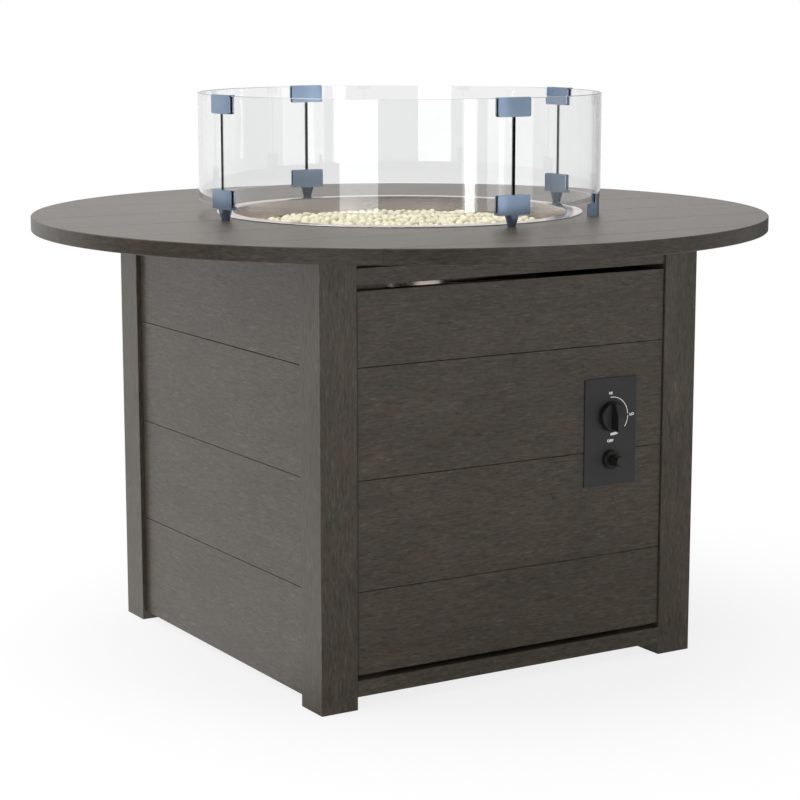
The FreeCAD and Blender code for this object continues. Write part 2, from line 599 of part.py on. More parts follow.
def clips():
    width = CLIP_WIDTH
    radius = GLASS_OUTER_RADIUS
    top_plate = GLASS_TOP + TOP_LINER
    bottom_plate = GLASS_BOTTOM - LINER
    spread = width * 1.3
    top = arc_segment(clip_section(TOP_CLIP_BOTTOM, TOP_CLIP_TOP, top_plate), 90, spread, radius)
    outline = rounded_plate_outline(width, TOP_CLIP_BOTTOM, TOP_CLIP_TOP, CLIP_CORNER, ("top", "bottom"))
    top = top.common(outline)
    bottom = arc_segment(clip_section(BOTTOM_CLIP_TOP, BOTTOM_CLIP_BOTTOM, bottom_plate), 90, spread, radius)
    outline = rounded_plate_outline(width, BOTTOM_CLIP_BOTTOM, BOTTOM_CLIP_TOP, CLIP_CORNER, ("top",))
    foot = Part.makeCone(FOOT_TIP_RADIUS, FOOT_TOP_RADIUS, BOTTOM_CLIP_BOTTOM - TOP_HEIGHT,
                         V(FOOT_CIRCLE_RADIUS, 0, TOP_HEIGHT))
    outer_face = GLASS_OUTER_RADIUS + LINER + JAW
    foot = foot.common(Part.makeCylinder(outer_face, GLASS_TOP))
    bottom = bottom.common(outline).fuse(foot).removeSplitter()
    liner_width = width - 0.6
    top_liner = arc_segment(
        liner_section(TOP_CLIP_BOTTOM + 0.5, top_plate, GLASS_TOP), 90, liner_width, radius)
    bottom_liner = arc_segment(
        liner_section(BOTTOM_CLIP_TOP - 0.5, bottom_plate, GLASS_BOTTOM), 90, liner_width, radius)
    nodes["top_clips"] = group(turned_to(top, angle) for angle in JOINT_ANGLES)
    nodes["bottom_clips"] = group(turned_to(bottom, angle) for angle in JOINT_ANGLES)
    liners = [turned_to(top_liner, angle) for angle in JOINT_ANGLES]
    liners += [turned_to(bottom_liner, angle) for angle in JOINT_ANGLES]
    foot_liner, middle_foot = middle_support()
    nodes["clip_liners"] = group(liners + [foot_liner])
    nodes["middle_foot"] = middle_foot


def middle_support():
    """A slotted foot under the front right panel."""
    inner = GLASS_INNER_RADIUS - LINER
    outer = GLASS_OUTER_RADIUS + LINER
    slot_floor = GLASS_BOTTOM - LINER
    top = slot_floor + 14.5
    step = TOP_HEIGHT + 20.5
    section = [(inner - 6.5, TOP_HEIGHT), (outer + 4, TOP_HEIGHT), (outer + 4, top), (outer, top),
               (outer, slot_floor), (inner, slot_floor), (inner, top), (inner - 2.5, top),
               (inner - 2.5, step), (inner - 6.5, step)]
    foot = arc_segment(section, MIDDLE_FOOT_ANGLE, MIDDLE_FOOT_WIDTH, GLASS_OUTER_RADIUS)
    liner = arc_segment(liner_section(top - 0.5, slot_floor, GLASS_BOTTOM), MIDDLE_FOOT_ANGLE,
                        MIDDLE_FOOT_WIDTH - 0.6, GLASS_OUTER_RADIUS)
    return liner, foot


table_top()
top_supports()
posts()
panels()
battens_and_screws()
front_frame()
floor()
door()
hinge()
control_plate()
gas_valve()
control_knob()
igniter()
burner_pan()
ring_burner()
pebbles()
glass()
clips()

os.makedirs("parts", exist_ok=True)
for name, shape in nodes.items():
    shape.exportStep("parts/%s.step" % name)
    state = "valid" if shape.isValid() else "INVALID"
    print(name, len(shape.Solids), state, round(shape.Volume / 1000, 1), "cm3")
print(len(nodes), "nodes")
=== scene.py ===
import json
import math
import random

import bpy
from mathutils import Matrix, Vector

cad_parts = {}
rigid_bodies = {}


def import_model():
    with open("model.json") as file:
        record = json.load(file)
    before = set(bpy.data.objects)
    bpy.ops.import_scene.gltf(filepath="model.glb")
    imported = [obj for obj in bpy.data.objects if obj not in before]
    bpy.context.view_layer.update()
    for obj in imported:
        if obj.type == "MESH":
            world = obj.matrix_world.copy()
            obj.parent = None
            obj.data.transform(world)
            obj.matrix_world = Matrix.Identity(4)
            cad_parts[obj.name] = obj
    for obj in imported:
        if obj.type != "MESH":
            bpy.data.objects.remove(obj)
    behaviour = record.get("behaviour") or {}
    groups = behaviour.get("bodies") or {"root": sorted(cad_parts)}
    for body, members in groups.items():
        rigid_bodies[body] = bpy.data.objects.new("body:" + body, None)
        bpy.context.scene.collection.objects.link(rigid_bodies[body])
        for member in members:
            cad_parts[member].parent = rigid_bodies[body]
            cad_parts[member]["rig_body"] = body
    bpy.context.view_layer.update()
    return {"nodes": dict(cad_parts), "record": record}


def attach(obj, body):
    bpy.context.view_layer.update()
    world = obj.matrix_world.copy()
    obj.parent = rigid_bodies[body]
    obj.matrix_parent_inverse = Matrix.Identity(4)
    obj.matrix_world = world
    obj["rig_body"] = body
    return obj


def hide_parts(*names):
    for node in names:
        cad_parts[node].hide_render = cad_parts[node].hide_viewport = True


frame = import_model()
nodes = frame["nodes"]
chance = random.Random(24)

# Camera, set to the photograph's viewing angle
CAMERA_PLACE = (-1.92108, -3.15295, 1.04889)
CAMERA_YAW = math.radians(-31.363)
CAMERA_DIP = math.radians(9.928)
CAMERA_LENS = 99.29


def extent(node):
    """The lowest and the highest corner of one solid."""
    corners = nodes[node].bound_box
    return [Vector([pick(corner[axis] for corner in corners) for axis in range(3)])
            for pick in (min, max)]


# Sizes that the pieces made here share with the solids, in metres
GLASS_LOW, GLASS_HIGH = extent("glass_front_right")
GLASS_OUTER = GLASS_HIGH.x
GLASS_THICKNESS = 0.005
GLASS_INNER = GLASS_OUTER - GLASS_THICKNESS
GLASS_BOTTOM = GLASS_LOW.z
GLASS_TOP = GLASS_HIGH.z
GLASS_EASE = 0.0008
SEAL_LOW, SEAL_HIGH = extent("glass_seals")
SEAL_EASE = 0.0006
JOINT_ANGLES = (0.5, 91.2, 179.2, 271.0)
JOINT_GAP = 0.0042
TABLE_TOP = extent("top_board_1")[1].z
TABLE_RADIUS = extent("top_board_4_right")[1].x
PAN_LOW, PAN_HIGH = extent("burner_pan")
PAN_SHEET = 0.0015
PAN_BEND = 0.0012
PAN_OUTSIDE = 0.2794
PAN_INSIDE = PAN_OUTSIDE - PAN_SHEET
PAN_HOLE = 0.014
FLANGE_EASE = 0.0004
DECK_LEDGE = 0.006
PEBBLE_CREST = 0.711
PEBBLE_RIM = 0.6985
PEBBLE_FALL = 3.2
STONE_RADIUS = 0.0085
STONE_RISE = 0.001
STONE_COUNT = 40
STONE_REACH = 0.262
DECK = extent("burner_deck")[1].z
PLATE_FRONT = extent("control_plate")[0].y

# The loose pebbles, in metres: the spacing of one layer and how far its stones stray from it
PEBBLE_PITCH = 0.0140
ROW_SPACING = 0.866
PEBBLE_STRAY = 0.0034
PEBBLE_SIZES = (0.0058, 0.0080)
PEBBLE_LIFT = 0.0028
PROUD_SHARE = 0.08
PROUD_LIFT = 0.0030
STONE_CLEARANCE = 0.0135
PAN_CLEARANCE = 0.0008
PEBBLE_SQUEEZE = ((0.95, 1.10), (0.88, 1.02), (0.84, 1.0))
DARK_SHARE = 0.03
BED_CLEARANCE = 0.0012
BED_DEPTH = 0.013
BED_RINGS = 8
SECOND_LAYER_DROP = 0.0085

# The print on the control plate: words and their middles, arcs from angle to angle, and an arrow
PRINT_DEPTH = 0.00012
LETTER_SIZE = 0.0054
LETTER_STRETCH = 1.25
LETTER_WEIGHT = 0.0004
DIAL_WORDS = (("HI", 0.1832, 0.4494), ("LO", 0.2258, 0.4116), ("OFF", 0.1834, 0.3716))
DIAL_ARCS = (("dial_arc_upper", -6, 86), ("dial_arc_lower", 91, 126))
DIAL_ARROW = (
    (0.1838, 0.3802), (0.1936, 0.3808), (0.1994, 0.3826), (0.1938, 0.3854), (0.1838, 0.3840))
ARC_X = 0.1860
ARC_Z = 0.4111
ARC_RADIUS = 0.0318
ARC_WIDTH = 0.0014
ARC_STEPS = 28


# Modelling helpers

def only(piece):
    """Selects one piece and nothing else."""
    if bpy.context.object and bpy.context.object.mode != "OBJECT":
        bpy.ops.object.mode_set(mode="OBJECT")
    bpy.ops.object.select_all(action="DESELECT")
    piece.select_set(True)
    bpy.context.view_layer.objects.active = piece


def named(name):
    """Names the piece that was just added, and its mesh."""
    piece = bpy.context.object
    piece.name = name
    piece.data.name = name
    return piece


def settle(piece):
    """Moves the piece's place, turn and size into its mesh."""
    only(piece)
    bpy.ops.object.transform_apply(location=True, rotation=True, scale=True)


def finish_modifiers(piece):
    """Applies every modifier to the piece's mesh."""
    only(piece)
    for modifier in list(piece.modifiers):
        bpy.ops.object.modifier_apply(modifier=modifier.name)


def clean(piece, distance=0.00001):
    """Merges doubled points and turns every face outwards."""
    only(piece)
    bpy.ops.object.mode_set(mode="EDIT")
    bpy.ops.mesh.select_all(action="SELECT")
    bpy.ops.mesh.remove_doubles(threshold=distance)
    bpy.ops.mesh.normals_make_consistent(inside=False)
    bpy.ops.object.mode_set(mode="OBJECT")


def shade(piece, angle=30):
    """Shades a piece smooth where its faces meet at less than an angle."""
    only(piece)
    bpy.ops.object.shade_smooth_by_angle(angle=math.radians(angle))


def join(pieces, name):
    """Joins pieces into one mesh under a name."""
    bpy.ops.object.select_all(action="DESELECT")
    for piece in pieces:
        piece.select_set(True)
    bpy.context.view_layer.objects.active = pieces[0]
    bpy.ops.object.join()
    return named(name)


def spun(name, outline, sweep=360.0, start=0.0, steps=96):
    """Spins a closed outline of (radius, height) points about the middle of the table.

    The spin turns clockwise, so the outline stands at the far end of the sweep.
    """
    bpy.ops.object.select_all(action="DESELECT")
    whole = sweep >= 360.0
    bpy.ops.mesh.primitive_circle_add(
        vertices=len(outline), radius=0.1, fill_type="NOTHING" if whole else "NGON")
    piece = named(name)
    angle = math.radians(start + sweep)
    for point, (radius, height) in zip(piece.data.vertices, outline):
        point.co = (radius * math.cos(angle), radius * math.sin(angle), height)
    only(piece)
    bpy.ops.object.mode_set(mode="EDIT")
    bpy.ops.mesh.select_all(action="SELECT")
    bpy.ops.mesh.spin(
        steps=steps, dupli=False, angle=math.radians(sweep), center=(0, 0, 0), axis=(0, 0, 1))
    bpy.ops.object.mode_set(mode="OBJECT")
    clean(piece)
    return piece


# Materials

def new_finish(name):
    """A new material, with its node tree, its shader and the place on the piece."""
    finish = bpy.data.materials.new(name)
    finish.use_nodes = True
    tree = finish.node_tree
    shader = tree.nodes["Principled BSDF"]
    place = tree.nodes.new("ShaderNodeTexCoord")
    return finish, tree, shader, place.outputs["Object"]


def add_noise(tree, vector, scale, detail=4.0, roughness=0.55, distortion=0.0):
    """Cloudy noise between 0 and 1, finer as its scale grows."""
    noise = tree.nodes.new("ShaderNodeTexNoise")
    noise.inputs["Scale"].default_value = scale
    noise.inputs["Detail"].default_value = detail
    noise.inputs["Roughness"].default_value = roughness
    noise.inputs["Distortion"].default_value = distortion
    tree.links.new(vector, noise.inputs["Vector"])
    return noise.outputs["Fac"]


def stretched(tree, vector, scale, offset=(0, 0, 0)):
    """A place scaled along each axis, and moved."""
    mapping = tree.nodes.new("ShaderNodeMapping")
    mapping.inputs["Scale"].default_value = scale
    mapping.inputs["Location"].default_value = offset
    tree.links.new(vector, mapping.inputs["Vector"])
    return mapping.outputs["Vector"]


def ramp(tree, value, stops):
    """Turns a value into a colour through (position, colour) stops."""
    node = tree.nodes.new("ShaderNodeValToRGB")
    edge = node.color_ramp.elements
    edge[0].position, edge[0].color = stops[0][0], (*stops[0][1], 1)
    edge[1].position, edge[1].color = stops[-1][0], (*stops[-1][1], 1)
    for position, colour in stops[1:-1]:
        edge.new(position).color = (*colour, 1)
    tree.links.new(value, node.inputs["Fac"])
    return node.outputs["Color"]


def blend(tree, amount, first, second, mode="MIX", kind="Color"):
    """Mixes two colours, or two places where the kind is Vector."""
    node = tree.nodes.new("ShaderNodeMix")
    node.data_type = "RGBA" if kind == "Color" else "VECTOR"
    node.blend_type = mode
    for socket, value in (("Factor_Float", amount), ("A_" + kind, first), ("B_" + kind, second)):
        target = next(entry for entry in node.inputs if entry.identifier == socket)
        if isinstance(value, (int, float)):
            target.default_value = value
        elif isinstance(value, tuple):
            target.default_value = (*value, 1)
        else:
            tree.links.new(value, target)
    return next(entry for entry in node.outputs if entry.identifier == "Result_" + kind)


def spread(tree, value, low, high, from_low=0.3, from_high=0.7):
    """Stretches a value between two limits."""
    node = tree.nodes.new("ShaderNodeMapRange")
    node.inputs["From Min"].default_value = from_low
    node.inputs["From Max"].default_value = from_high
    node.inputs["To Min"].default_value = low
    node.inputs["To Max"].default_value = high
    tree.links.new(value, node.inputs["Value"])
    return node.outputs["Result"]


def calculate(tree, operation, first, second=0.0):
    """One sum with one or two values."""
    node = tree.nodes.new("ShaderNodeMath")
    node.operation = operation
    for socket, value in zip(node.inputs, (first, second)):
        if isinstance(value, (int, float)):
            socket.default_value = value
        else:
            tree.links.new(value, socket)
    return node.outputs["Value"]


def add_relief(tree, shader, height, depth, strength=1.0):
    """Gives a surface a fine relief."""
    bump = tree.nodes.new("ShaderNodeBump")
    bump.inputs["Strength"].default_value = strength
    bump.inputs["Distance"].default_value = depth
    tree.links.new(height, bump.inputs["Height"])
    tree.links.new(bump.outputs["Normal"], shader.inputs["Normal"])


def split_place(tree, place):
    """The three parts of a place."""
    parts = tree.nodes.new("ShaderNodeSeparateXYZ")
    tree.links.new(place, parts.inputs["Vector"])
    return parts.outputs["X"], parts.outputs["Y"], parts.outputs["Z"]


def join_place(tree, *values):
    """A place put together from its three parts."""
    joined = tree.nodes.new("ShaderNodeCombineXYZ")
    for socket, value in zip(joined.inputs, values):
        tree.links.new(value, socket)
    return joined.outputs["Vector"]


def round_the_middle(tree, place):
    """The bearing, the distance and the height of a place, about the middle of the table."""
    x, y, height = split_place(tree, place)
    squares = calculate(
        tree, "ADD", calculate(tree, "POWER", x, 2.0), calculate(tree, "POWER", y, 2.0))
    return calculate(tree, "ARCTAN2", y, x), calculate(tree, "SQRT", squares), height


def round_the_rim(tree, place):
    """Bends the grain round the edge of the table top, and says where that edge is."""
    turn, radius, height = round_the_middle(tree, place)
    bent = join_place(tree, calculate(tree, "MULTIPLY", turn, TABLE_RADIUS), radius, height)
    on_rim = calculate(tree, "GREATER_THAN", radius, TABLE_RADIUS - 0.0006)
    return blend(tree, on_rim, place, bent, kind="Vector"), on_rim


def board_finish(name, along, gloss=0.36, rim=False):
    """Brushed dark brown boards with a wood grain that runs along one axis. With rim, the edge of the
    table top also gets painted shade.
    """
    finish, tree, shader, place = new_finish(name)
    if rim:
        place, on_rim = round_the_rim(tree, place)

    def grain(length, width, offset):
        scale = [1 / width] * 3
        scale[along] = 1 / length
        return stretched(tree, place, scale, offset)

    streaks = add_noise(tree, grain(0.020, 0.0030, (3.1, 7.7, 1.9)), 1.0, 3.0, 0.60, 1.0)
    fibres = add_noise(tree, grain(0.012, 0.0011, (9.4, 2.2, 5.3)), 1.0, 2.0, 0.6, 0.2)
    flecks = add_noise(tree, grain(0.018, 0.0034, (21.0, 13.0, 8.5)), 1.0, 2.0, 0.5, 0.5)
    clouds = add_noise(tree, grain(0.16, 0.05, (5.5, 1.2, 4.4)), 1.0, 3.0, 0.55)
    base = ramp(tree, streaks, (
        (0.30, (0.040, 0.034, 0.026)),
        (0.46, (0.062, 0.052, 0.040)),
        (0.60, (0.082, 0.069, 0.053)),
        (0.76, (0.136, 0.114, 0.089))))
    brown = spread(tree, flecks, 0.0, 0.7, 0.50, 0.68)
    base = blend(tree, brown, base, (0.093, 0.060, 0.044))
    tone = ramp(tree, clouds, ((0.30, (0.88, 0.88, 0.88)), (0.70, (1.08, 1.08, 1.08))))
    base = blend(tree, 1.0, base, tone, "MULTIPLY")
    fine = ramp(tree, fibres, ((0.30, (0.80, 0.80, 0.80)), (0.70, (1.14, 1.14, 1.14))))
    base = blend(tree, 1.0, base, fine, "MULTIPLY")
    # Painted shade: the edge of the table top is darkened to 0.68, to keep it as dark as the shaded
    # boards below the top.
    if rim:
        base = blend(tree, on_rim, base, (0.68, 0.68, 0.68), "MULTIPLY")
    tree.links.new(base, shader.inputs["Base Color"])
    tree.links.new(spread(tree, fibres, gloss - 0.04, gloss + 0.06), shader.inputs["Roughness"])
    height = calculate(tree, "ADD", calculate(tree, "MULTIPLY", streaks, 0.7), fibres)
    add_relief(tree, shader, height, 0.00012, 0.18)
    return finish


def brushed_finish(name, colour, roughness, round_brush=True, depth=0.00001, contrast=0.05,
                   wear=1.0, sheen=None):
    """Brushed sheet metal. The brush lines run round the table, or up and down.

    A sheen is a painted sheen: the base colour turns to it where the metal is seen edge on.
    """
    finish, tree, shader, place = new_finish(name)
    if round_brush:
        parts = zip(round_the_middle(tree, place), (3.0, 900.0, 900.0))
        brushed = join_place(tree, *(calculate(tree, "MULTIPLY", part, scale) for part, scale in parts))
    else:
        brushed = stretched(tree, place, (900, 900, 30))
    lines = add_noise(tree, brushed, 1.0, 3.0, 0.6)
    smudges = add_noise(tree, place, 14.0, 3.0, 0.5)
    light = tuple(min(1.0, c * (1 + contrast)) for c in colour)
    dark = tuple(c * (1 - contrast) for c in colour)
    base = ramp(tree, lines, ((0.32, dark), (0.68, light)))
    # Painted sheen: the base colour lightens towards the sheen where the surface is seen edge on.
    if sheen:
        slant = tree.nodes.new("ShaderNodeLayerWeight")
        slant.inputs["Blend"].default_value = 0.5
        edge_on = spread(tree, slant.outputs["Facing"], 0.0, 1.0, 0.15, 0.75)
        base = blend(tree, edge_on, base, sheen)
    tree.links.new(base, shader.inputs["Base Color"])
    shader.inputs["Metallic"].default_value = 1.0
    worn = calculate(tree, "ADD", spread(tree, lines, roughness - 0.04 * wear, roughness + 0.06 * wear),
                     spread(tree, smudges, -0.03 * wear, 0.05 * wear))
    tree.links.new(worn, shader.inputs["Roughness"])
    add_relief(tree, shader, lines, depth, 0.3)
    return finish


def speckled_finish(name, dark, light, roughness, grain=900.0, depth=0.00008, coat=0.0, shine=0.5):
    """Powder coat, moulded plastic, rubber and the like: a fine grain with slow changes of tone."""
    finish, tree, shader, place = new_finish(name)
    fine = add_noise(tree, place, grain, 2.0, 0.6)
    slow = add_noise(tree, place, 22.0, 3.0, 0.5)
    mixed = calculate(tree, "ADD", calculate(tree, "MULTIPLY", fine, 0.45),
                      calculate(tree, "MULTIPLY", slow, 0.55))
    tree.links.new(ramp(tree, mixed, ((0.36, dark), (0.64, light))), shader.inputs["Base Color"])
    tree.links.new(spread(tree, slow, roughness - 0.04, roughness + 0.06), shader.inputs["Roughness"])
    shader.inputs["Specular IOR Level"].default_value = shine
    if coat:
        shader.inputs["Coat Weight"].default_value = coat
        shader.inputs["Coat Roughness"].default_value = 0.08
    add_relief(tree, shader, fine, depth, 0.5)
    return finish


def clip_finish(name):
    """Satin metal with a blue cast, finely blasted."""
    finish, tree, shader, place = new_finish(name)
    fine = add_noise(tree, place, 1400.0, 2.0, 0.6)
    slow = add_noise(tree, place, 30.0, 3.0, 0.5)
    base = ramp(tree, slow, ((0.3, (0.202, 0.268, 0.372)), (0.7, (0.222, 0.292, 0.405))))
    tree.links.new(base, shader.inputs["Base Color"])
    tree.links.new(spread(tree, fine, 0.15, 0.20), shader.inputs["Roughness"])
    shader.inputs["Metallic"].default_value = 0.7
    add_relief(tree, shader, fine, 0.00001, 0.3)
    return finish


def glass_finish(name):
    """Clear glass with a trace of haze."""
    finish, tree, shader, place = new_finish(name)
    haze = add_noise(tree, place, 9.0, 2.0, 0.5)
    base = ramp(tree, haze, ((0.3, (0.962, 0.966, 0.966)), (0.7, (0.975, 0.978, 0.978))))
    tree.links.new(base, shader.inputs["Base Color"])
    tree.links.new(spread(tree, haze, 0.0, 0.012), shader.inputs["Roughness"])
    shader.inputs["Transmission Weight"].default_value = 1.0
    shader.inputs["IOR"].default_value = 1.5
    return finish


def ground_edge_finish(name):
    """The top edges of the glass, ground and then polished to a satin."""
    finish, tree, shader, place = new_finish(name)
    grit = add_noise(tree, place, 900.0, 2.0, 0.6)
    base = ramp(tree, grit, ((0.3, (0.82, 0.84, 0.84)), (0.7, (0.90, 0.92, 0.92))))
    tree.links.new(base, shader.inputs["Base Color"])
    tree.links.new(spread(tree, grit, 0.25, 0.4), shader.inputs["Roughness"])
    shader.inputs["Transmission Weight"].default_value = 0.75
    shader.inputs["IOR"].default_value = 1.5
    return finish


def clear_edge_finish(name):
    """The bottom edges of the glass, polished until they can hardly be seen."""
    finish, tree, shader, place = new_finish(name)
    haze = add_noise(tree, place, 60.0, 2.0, 0.5)
    base = ramp(tree, haze, ((0.3, (0.80, 0.82, 0.82)), (0.7, (0.88, 0.90, 0.90))))
    tree.links.new(base, shader.inputs["Base Color"])
    tree.links.new(spread(tree, haze, 0.05, 0.10), shader.inputs["Roughness"])
    tree.links.new(spread(tree, haze, 0.05, 0.10), shader.inputs["Alpha"])
    return finish


def pebble_finish(name):
    """Cream stones, each with a tone of its own and a fine mottle."""
    finish, tree, shader, place = new_finish(name)
    tone = tree.nodes.new("ShaderNodeAttribute")
    tone.attribute_name = "tone"
    grain = add_noise(tree, place, 420.0, 3.0, 0.6)
    base = ramp(tree, tone.outputs["Fac"], (
        (0.0, (0.42, 0.37, 0.25)), (0.35, (0.635, 0.60, 0.45)), (1.0, (0.77, 0.745, 0.585))))
    mottled = ramp(tree, grain, ((0.3, (0.92, 0.91, 0.88)), (0.7, (1.0, 1.0, 1.0))))
    base = blend(tree, 1.0, base, mottled, "MULTIPLY")
    tree.links.new(base, shader.inputs["Base Color"])
    tree.links.new(spread(tree, grain, 0.42, 0.56), shader.inputs["Roughness"])
    add_relief(tree, shader, grain, 0.0003, 0.4)
    return finish


def print_finish(name):
    """White printing ink."""
    finish, tree, shader, place = new_finish(name)
    ink = add_noise(tree, place, 700.0, 2.0, 0.6)
    tree.links.new(ramp(tree, ink, ((0.3, (0.74, 0.74, 0.73)), (0.7, (0.84, 0.84, 0.83)))),
                   shader.inputs["Base Color"])
    tree.links.new(spread(tree, ink, 0.45, 0.6), shader.inputs["Roughness"])
    return finish


def dress(piece, *finishes):
    """Gives a piece its finishes. The first covers it until its faces are told otherwise."""
    piece.data.materials.clear()
    for finish in finishes:
        piece.data.materials.append(finish)


# Pieces made here

def smooth_copy(node):
    """A merged copy of a solid, shaded smooth over its curved faces, that stands for it."""
    source = nodes[node]
    piece = bpy.data.objects.new("smooth_" + node, source.data.copy())
    bpy.context.scene.collection.objects.link(piece)
    clean(piece)
    only(piece)
    bpy.ops.mesh.customdata_custom_splitnormals_clear()
    shade(piece)
    return piece


def glass_outline(low, high, ease):
    """The section of the glass ring from one height to another, with eased corners."""
    return [
        (GLASS_INNER + ease, low), (GLASS_OUTER - ease, low), (GLASS_OUTER, low + ease),
        (GLASS_OUTER, high - ease), (GLASS_OUTER - ease, high), (GLASS_INNER + ease, high),
        (GLASS_INNER, high - ease), (GLASS_INNER, low + ease)]


def make_glass(finish, edge_finish, low_finish, seal_finish):
    """Four bent panes, ground along the top and bonded to the black seals at their ends."""
    outline = glass_outline(GLASS_BOTTOM, GLASS_TOP, GLASS_EASE)
    gap = math.degrees(JOINT_GAP / 2 / GLASS_INNER)
    sides = ("front_right", "rear_right", "rear_left", "front_left")
    ends = JOINT_ANGLES[1:] + (JOINT_ANGLES[0] + 360,)
    for side, start, end in zip(sides, JOINT_ANGLES, ends):
        pane = spun("pane_" + side, outline, end - start - 2 * gap, start - 90 + gap, 60)
        shade(pane)
        dress(pane, finish, edge_finish, seal_finish, low_finish)
        for face in pane.data.polygons:
            outward = Vector((face.center.x, face.center.y, 0)).normalized()
            if face.normal.z > 0.3:
                face.material_index = 1
            elif face.normal.z < -0.3:
                face.material_index = 3
            elif abs(face.normal.dot(outward)) < 0.5:
                face.material_index = 2
        pane.visible_shadow = False
        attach(pane, "wind_guard")
        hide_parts("glass_" + side)


def make_seals(finish):
    """The black seals that fill the gaps between the panes."""
    outline = glass_outline(SEAL_LOW.z, SEAL_HIGH.z, SEAL_EASE)
    wide = math.degrees(JOINT_GAP / GLASS_INNER)
    seals = [spun("seal", outline, wide, angle - 90 - wide / 2, 4) for angle in JOINT_ANGLES]
    joined = join(seals, "seals")
    shade(joined)
    dress(joined, finish)
    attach(joined, "wind_guard")
    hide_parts("glass_seals")


def make_pan(finish, rim_finish):
    """The burner pan, spun from sheet, with a flat polished flange that lies on the boards."""
    outside = PAN_OUTSIDE
    inside = PAN_INSIDE
    table = TABLE_TOP
    edge = PAN_HIGH.x
    bottom = PAN_LOW.z
    top = table + PAN_SHEET
    ease = FLANGE_EASE
    outline = [
        (PAN_HOLE, bottom), (outside, bottom), (outside, table), (edge - ease, table),
        (edge, table + ease), (edge, top - ease), (edge - ease, top),
        (inside + PAN_BEND, top), (inside + PAN_BEND * 0.3, top - PAN_BEND * 0.3),
        (inside, top - PAN_BEND), (inside, DECK - 0.002), (inside - DECK_LEDGE, DECK - 0.002),
        (inside - DECK_LEDGE, DECK - 0.004), (inside, DECK - 0.010), (inside, bottom + PAN_SHEET),
        (PAN_HOLE, bottom + PAN_SHEET)]
    pan = spun("spun_pan", outline, steps=160)
    shade(pan, 40)
    dress(pan, finish, rim_finish)
    for face in pan.data.polygons:
        face.material_index = 1 if face.center.z > top - PAN_BEND * 0.5 else 0
    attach(pan, "cabinet")
    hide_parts("burner_pan")


def heap_height(radius):
    """The height of the heap of pebbles at a distance from the middle."""
    part = min(1.0, radius / PAN_INSIDE)
    return PEBBLE_CREST + (PEBBLE_RIM - PEBBLE_CREST) * part ** PEBBLE_FALL


def main_stones():
    """Places of the larger stones, spread evenly over the heap as in the solid bed."""
    places = []
    for count in range(STONE_COUNT):
        radius = STONE_REACH * math.sqrt((count + 0.5) / STONE_COUNT)
        angle = math.radians(137.5 * count)
        height = heap_height(radius) + STONE_RISE - STONE_RADIUS
        places.append((radius * math.cos(angle), radius * math.sin(angle), height, STONE_RADIUS))
    return places


def loose_pebbles(drop, share, taken):
    """Places and sizes of one layer of pebbles, clear of the places that are taken."""
    rows = int(PAN_INSIDE / (PEBBLE_PITCH * ROW_SPACING)) + 1
    places = []
    for row in range(-rows, rows + 1):
        for column in range(-rows - 2, rows + 3):
            x = (column + 0.5 * (row % 2)) * PEBBLE_PITCH + chance.uniform(-PEBBLE_STRAY, PEBBLE_STRAY)
            y = row * PEBBLE_PITCH * ROW_SPACING + chance.uniform(-PEBBLE_STRAY, PEBBLE_STRAY)
            size = chance.uniform(*PEBBLE_SIZES)
            lift = chance.uniform(-PEBBLE_LIFT, PEBBLE_LIFT)
            if chance.random() < PROUD_SHARE:
                lift += PROUD_LIFT
            radius = math.hypot(x, y)
            if radius + size > PAN_INSIDE - PAN_CLEARANCE or chance.random() > share:
                continue
            if any(math.hypot(x - other[0], y - other[1]) < STONE_CLEARANCE for other in taken):
                continue
            places.append((x, y, heap_height(radius) - size - drop + lift, size))
    return places


def pebble_layer(name, places, segments, rings, finish):
    """One mesh of separate pebbles, each one a little different."""
    bpy.ops.object.select_all(action="DESELECT")
    bpy.ops.mesh.primitive_uv_sphere_add(segments=segments, ring_count=rings, radius=1.0)
    first = named("pebble")
    bpy.ops.object.shade_smooth()
    stones = []
    for x, y, z, size in places:
        mesh = first.data.copy()
        angle = chance.uniform(0, math.tau)
        axis = Vector([chance.uniform(-1, 1) for _ in range(3)]).normalized()
        turn = Matrix.Rotation(angle, 4, axis)
        squeeze = Matrix.Diagonal((*[chance.uniform(*limits) for limits in PEBBLE_SQUEEZE], 1))
        mesh.transform(Matrix.Translation((x, y, z)) @ turn @ squeeze @ Matrix.Scale(size, 4))
        tone = mesh.attributes.new("tone", "FLOAT", "POINT")
        shade_of_stone = chance.uniform(0.3, 1.0) if chance.random() > DARK_SHARE else 0.0
        tone.data.foreach_set("value", [shade_of_stone] * len(mesh.vertices))
        stone = bpy.data.objects.new("pebble", mesh)
        bpy.context.scene.collection.objects.link(stone)
        stones.append(stone)
    bpy.data.objects.remove(first)
    layer = join(stones, name)
    dress(layer, finish)
    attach(layer, "cabinet")
    return layer


def make_pebbles(finish, painted_shade_finish):
    """A closed bed under two layers of loose pebbles, in a dark finish that is painted shade for the
    gaps between the stones.
    """
    middle = 0.0001
    reach = PAN_INSIDE - BED_CLEARANCE
    under = [(middle, DECK + 0.0002), (reach, DECK + 0.0002)]
    for count in range(BED_RINGS + 1):
        radius = reach * (1 - count / BED_RINGS)
        under.append((max(radius, middle), heap_height(radius) - BED_DEPTH))
    bed = spun("pebble_underlay", under, steps=64)
    shade(bed, 40)
    dress(bed, painted_shade_finish)
    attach(bed, "cabinet")
    larger = main_stones()
    heap = pebble_layer("pebble_heap", larger + loose_pebbles(0.0, 0.96, larger), 10, 7, finish)
    pebble_layer("pebble_second_layer", loose_pebbles(SECOND_LAYER_DROP, 0.80, []), 8, 6, finish)
    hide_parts("pebble_bed")


def print_on_plate(piece, finish):
    """Lays a flat printed mark on the front of the control plate."""
    only(piece)
    bpy.ops.object.convert(target="MESH")
    settle(piece)
    piece.data.transform(Matrix.Rotation(math.pi / 2, 4, "X"))
    piece.data.transform(Matrix.Translation((0, PLATE_FRONT, 0)))
    clean(piece, 0.000001)
    dress(piece, finish)
    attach(piece, "door")


